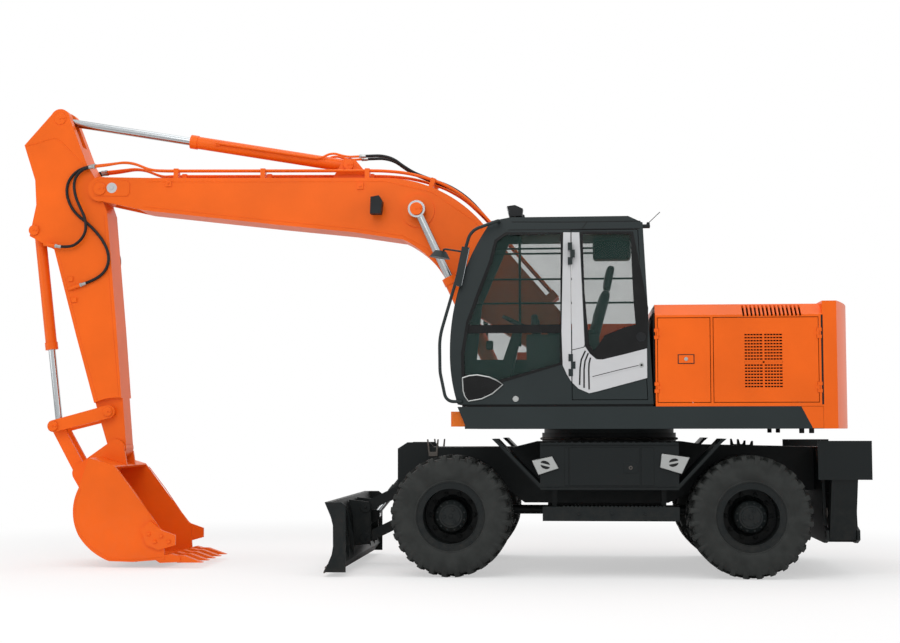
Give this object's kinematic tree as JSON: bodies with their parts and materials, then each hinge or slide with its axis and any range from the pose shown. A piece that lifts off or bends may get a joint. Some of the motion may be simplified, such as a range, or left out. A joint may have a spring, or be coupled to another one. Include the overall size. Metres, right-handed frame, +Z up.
{
  "type": "wheeled excavator",
  "caption": "Wheeled excavator with a one-piece boom, an arm and a bucket on a revolving cab and engine house, twin tyres, a dozer blade and two folding stabilisers.",
  "frame": {"origin": "On the ground plane, in the middle of the machine's length and width, with the boom to the front.", "axes": "+X points to the machine's rear, -Y to its left side (the cab's side), +Z up."},
  "size_m": [7.792, 2.53, 4.3579],
  "materials": {
    "orange_paint": "gloss",
    "dark_grey_paint": "satin",
    "black_paint": "satin",
    "tyre_rubber": "matte",
    "rod_chrome": "polished",
    "tinted_glass": "gloss",
    "hose_rubber": "matte",
    "amber_lens": "gloss",
    "engine_metal": "rough",
    "seat_fabric": "matte",
    "black_plastic": "matte"
  },
  "bodies": {
    "chassis": {"main_frame": "black_paint", "front_axle": "black_paint", "rear_axle": "black_paint", "side_boxes": "black_paint"},
    "knuckle_left": {"knuckle_left": "black_paint"},
    "knuckle_right": {"knuckle_right": "black_paint"},
    "blade": {"blade": "black_paint"},
    "blade_link_lower": {"blade_link_lower": "black_paint"},
    "blade_link_upper": {"blade_link_upper": "black_paint"},
    "blade_cylinder_barrel": {"blade_cylinder_barrel": "black_paint"},
    "blade_cylinder_rod": {"blade_cylinder_rod": "rod_chrome"},
    "upper": {"upper_frame": "dark_grey_paint", "hood": "orange_paint", "engine": "engine_metal", "counterweight": "orange_paint", "cab_shell": "dark_grey_paint", "cab_roof": "dark_grey_paint", "cab_glass": "tinted_glass", "seat": "seat_fabric", "consoles": "black_plastic", "tank_and_tool_box": "orange_paint", "rails_and_mirrors": "dark_grey_paint", "front_lamps": "amber_lens", "work_lamps": "black_plastic"},
    "cab_door": {"cab_door": "dark_grey_paint", "cab_door_glass": "tinted_glass"},
    "service_door_front_left": {"service_door_front_left": "orange_paint"},
    "service_door_rear_left": {"service_door_rear_left": "orange_paint"},
    "service_door_right": {"service_door_right": "orange_paint"},
    "engine_hood_lid": {"engine_hood_lid": "orange_paint"},
    "boom": {"boom": "orange_paint", "boom_lamp": "black_plastic", "boom_pipes": "orange_paint", "hoses_arm_long": "hose_rubber", "hoses_arm_short": "hose_rubber", "hoses_cylinder": "hose_rubber"},
    "boom_cylinder_barrels": {"boom_cylinder_barrels": "orange_paint"},
    "boom_cylinder_rods": {"boom_cylinder_rods": "rod_chrome"},
    "arm": {"arm": "orange_paint"},
    "arm_cylinder_barrel": {"arm_cylinder_barrel": "orange_paint"},
    "arm_cylinder_rod": {"arm_cylinder_rod": "rod_chrome"},
    "bucket": {"bucket": "orange_paint"},
    "rockers": {"rockers": "orange_paint"},
    "bucket_link": {"bucket_link": "orange_paint"},
    "bucket_cylinder_barrel": {"bucket_cylinder_barrel": "orange_paint"},
    "bucket_cylinder_rod": {"bucket_cylinder_rod": "rod_chrome"},
    "stabiliser_left": {"stabiliser_left": "black_paint"},
    "stabiliser_barrel_left": {"stabiliser_barrel_left": "black_paint"},
    "stabiliser_rod_left": {"stabiliser_rod_left": "rod_chrome"},
    "wheel_front_left": {"tyres_front_left": "tyre_rubber", "rim_front_left": "black_paint"},
    "wheel_rear_left": {"tyres_rear_left": "tyre_rubber", "rim_rear_left": "black_paint"},
    "stabiliser_right": {"stabiliser_right": "black_paint"},
    "stabiliser_barrel_right": {"stabiliser_barrel_right": "black_paint"},
    "stabiliser_rod_right": {"stabiliser_rod_right": "rod_chrome"},
    "wheel_front_right": {"tyres_front_right": "tyre_rubber", "rim_front_right": "black_paint"},
    "wheel_rear_right": {"tyres_rear_right": "tyre_rubber", "rim_rear_right": "black_paint"}
  },
  "joints": [
    {"name": "steer_left", "type": "hinge", "parent": "chassis", "child": "knuckle_left", "pos_m": [0.321, -0.6, 0.522], "axis": [0, 0, 1], "range_deg": [-28, 28]},
    {"name": "steer_right", "type": "hinge", "parent": "chassis", "child": "knuckle_right", "pos_m": [0.321, 0.6, 0.522], "axis": [0, 0, 1], "range_deg": [-28.5, 28.5]},
    {"name": "wheel_front_left_spin", "type": "hinge", "parent": "knuckle_left", "child": "wheel_front_left", "pos_m": [0.321, -0.967, 0.522], "axis": [0, 1, 0], "continuous": true},
    {"name": "wheel_front_right_spin", "type": "hinge", "parent": "knuckle_right", "child": "wheel_front_right", "pos_m": [0.321, 0.967, 0.522], "axis": [0, 1, 0], "continuous": true},
    {"name": "wheel_rear_left_spin", "type": "hinge", "parent": "chassis", "child": "wheel_rear_left", "pos_m": [2.871, -0.967, 0.522], "axis": [0, 1, 0], "continuous": true},
    {"name": "wheel_rear_right_spin", "type": "hinge", "parent": "chassis", "child": "wheel_rear_right", "pos_m": [2.871, 0.967, 0.522], "axis": [0, 1, 0], "continuous": true},
    {"name": "blade_lift", "type": "hinge", "parent": "chassis", "child": "blade_link_lower", "pos_m": [-0.159, 0, 0.45], "axis": [0, 1, 0], "range_deg": [-16, 50]},
    {"name": "blade_upper_link", "type": "hinge", "parent": "chassis", "child": "blade_link_upper", "pos_m": [-0.159, 0, 0.74], "axis": [0, 1, 0], "range_deg": [-16.5, 50.5]},
    {"name": "blade_level", "type": "hinge", "parent": "blade_link_lower", "child": "blade", "pos_m": [-0.549, 0, 0.262], "axis": [0, 1, 0], "range_deg": [-50.5, 16.5]},
    {"name": "blade_cylinder_pivot", "type": "hinge", "parent": "chassis", "child": "blade_cylinder_barrel", "pos_m": [-0.044, 0, 1.01], "axis": [0, 1, 0], "range_deg": [-9.9, 29.8]},
    {"name": "blade_cylinder_stroke", "type": "slide", "parent": "blade_cylinder_barrel", "child": "blade_cylinder_rod", "axis": [-0.6317, 0, -0.7752], "range_m": [-0.204, 0.067]},
    {"name": "stabiliser_left_swing", "type": "hinge", "parent": "chassis", "child": "stabiliser_left", "pos_m": [3.671, -0.93, 0.365], "axis": [1, 0, 0], "range_deg": [0, 100]},
    {"name": "stabiliser_left_cylinder_pivot", "type": "hinge", "parent": "chassis", "child": "stabiliser_barrel_left", "pos_m": [3.671, -0.5, 0.9], "axis": [1, 0, 0], "range_deg": [-5, 0.5]},
    {"name": "stabiliser_left_cylinder_stroke", "type": "slide", "parent": "stabiliser_barrel_left", "child": "stabiliser_rod_left", "axis": [0, -0.7395, -0.6731], "range_m": [-0.003, 0.285]},
    {"name": "stabiliser_right_swing", "type": "hinge", "parent": "chassis", "child": "stabiliser_right", "pos_m": [3.671, 0.93, 0.365], "axis": [-1, 0, 0], "range_deg": [0, 100]},
    {"name": "stabiliser_right_cylinder_pivot", "type": "hinge", "parent": "chassis", "child": "stabiliser_barrel_right", "pos_m": [3.671, 0.5, 0.9], "axis": [-1, 0, 0], "range_deg": [-5, 0.5]},
    {"name": "stabiliser_right_cylinder_stroke", "type": "slide", "parent": "stabiliser_barrel_right", "child": "stabiliser_rod_right", "axis": [0, 0.7395, -0.6731], "range_m": [-0.003, 0.285]},
    {"name": "slew", "type": "hinge", "parent": "chassis", "child": "upper", "pos_m": [1.701, 0, 1.235], "axis": [0, 0, 1], "continuous": true},
    {"name": "cab_door_hinge", "type": "hinge", "parent": "upper", "child": "cab_door", "pos_m": [1.369, -1.233, 2.2], "axis": [0, 0, -1], "range_deg": [0, 120]},
    {"name": "service_door_front_left_hinge", "type": "hinge", "parent": "upper", "child": "service_door_front_left", "pos_m": [2.102, -1.225, 1.85], "axis": [0, 0, -1], "range_deg": [0, 85]},
    {"name": "service_door_rear_left_hinge", "type": "hinge", "parent": "upper", "child": "service_door_rear_left", "pos_m": [3.452, -1.225, 1.85], "axis": [0, 0, 1], "range_deg": [0, 95]},
    {"name": "service_door_right_hinge", "type": "hinge", "parent": "upper", "child": "service_door_right", "pos_m": [3.452, 1.225, 1.85], "axis": [0, 0, -1], "range_deg": [0, 95]},
    {"name": "engine_hood_lid_hinge", "type": "hinge", "parent": "upper", "child": "engine_hood_lid", "pos_m": [2.417, 0, 2.34], "axis": [0, -1, 0], "range_deg": [0, 65]},
    {"name": "boom_lift", "type": "hinge", "parent": "upper", "child": "boom", "pos_m": [1.621, 0, 1.75], "axis": [0, 1, 0], "range_deg": [-48, 42]},
    {"name": "boom_cylinder_pivot", "type": "hinge", "parent": "upper", "child": "boom_cylinder_barrels", "pos_m": [0.741, 0, 1.6], "axis": [0, 1, 0], "range_deg": [-54.7, 48]},
    {"name": "boom_cylinder_stroke", "type": "slide", "parent": "boom_cylinder_barrels", "child": "boom_cylinder_rods", "axis": [-0.4271, 0, 0.9042], "range_m": [-0.522, 0.457]},
    {"name": "arm_swing", "type": "hinge", "parent": "boom", "child": "arm", "pos_m": [-3.129, 0, 3.566], "axis": [0, -1, 0], "range_deg": [-85, 32], "deforming": ["hoses_arm_long", "hoses_arm_short"]},
    {"name": "arm_cylinder_pivot", "type": "hinge", "parent": "boom", "child": "arm_cylinder_barrel", "pos_m": [-0.744, 0, 3.78], "axis": [0, -1, 0], "range_deg": [-7.3, 3.1], "deforming": ["hoses_cylinder"]},
    {"name": "arm_cylinder_stroke", "type": "slide", "parent": "arm_cylinder_barrel", "child": "arm_cylinder_rod", "axis": [-0.9855, 0, 0.1699], "range_m": [-1, 0.378]},
    {"name": "bucket_curl", "type": "hinge", "parent": "arm", "child": "bucket", "pos_m": [-2.956, 0, 1.092], "axis": [0, -1, 0], "range_deg": [-74, 80]},
    {"name": "rocker_pivot", "type": "hinge", "parent": "arm", "child": "rockers", "pos_m": [-3.023, 0, 1.438], "axis": [0, -1, 0], "range_deg": [-59.7, 64.5]},
    {"name": "bucket_link_pivot", "type": "hinge", "parent": "bucket", "child": "bucket_link", "pos_m": [-3.307, 0, 0.859], "axis": [0, -1, 0], "range_deg": [-58.1, 53.8]},
    {"name": "bucket_cylinder_pivot", "type": "hinge", "parent": "arm", "child": "bucket_cylinder_barrel", "pos_m": [-3.784, 0, 3.181], "axis": [0, -1, 0], "range_deg": [-3.7, 3.5]},
    {"name": "bucket_cylinder_stroke", "type": "slide", "parent": "bucket_cylinder_barrel", "child": "bucket_cylinder_rod", "axis": [0.121, 0, -0.9927], "range_m": [-0.449, 0.485]}
  ],
  "couplings": [
    {"joint": "steer_right", "follows": "steer_left", "ratio": 1},
    {"joint": "blade_upper_link", "follows": "blade_lift", "ratio": 1},
    {"joint": "blade_level", "follows": "blade_lift", "ratio": -1},
    {"joint": "blade_cylinder_pivot", "follows": "blade_lift", "ratio": 0.585},
    {"joint": "blade_cylinder_stroke", "follows": "blade_lift", "m_per_rad": -0.23},
    {"joint": "stabiliser_left_cylinder_pivot", "follows": "stabiliser_left_swing", "ratio": -0.045},
    {"joint": "stabiliser_left_cylinder_stroke", "follows": "stabiliser_left_swing", "m_per_rad": 0.1615},
    {"joint": "stabiliser_right_cylinder_pivot", "follows": "stabiliser_right_swing", "ratio": -0.045},
    {"joint": "stabiliser_right_cylinder_stroke", "follows": "stabiliser_right_swing", "m_per_rad": 0.1615},
    {"joint": "boom_cylinder_pivot", "follows": "boom_lift", "ratio": 1.13},
    {"joint": "boom_cylinder_stroke", "follows": "boom_lift", "m_per_rad": 0.62},
    {"joint": "arm_cylinder_pivot", "follows": "arm_swing", "ratio": 0.08},
    {"joint": "arm_cylinder_stroke", "follows": "arm_swing", "m_per_rad": 0.672},
    {"joint": "rocker_pivot", "follows": "bucket_curl", "ratio": 0.8},
    {"joint": "bucket_link_pivot", "follows": "bucket_curl", "ratio": -0.72},
    {"joint": "bucket_cylinder_pivot", "follows": "bucket_curl", "ratio": -0.04},
    {"joint": "bucket_cylinder_stroke", "follows": "bucket_curl", "m_per_rad": 0.345}
  ]
}
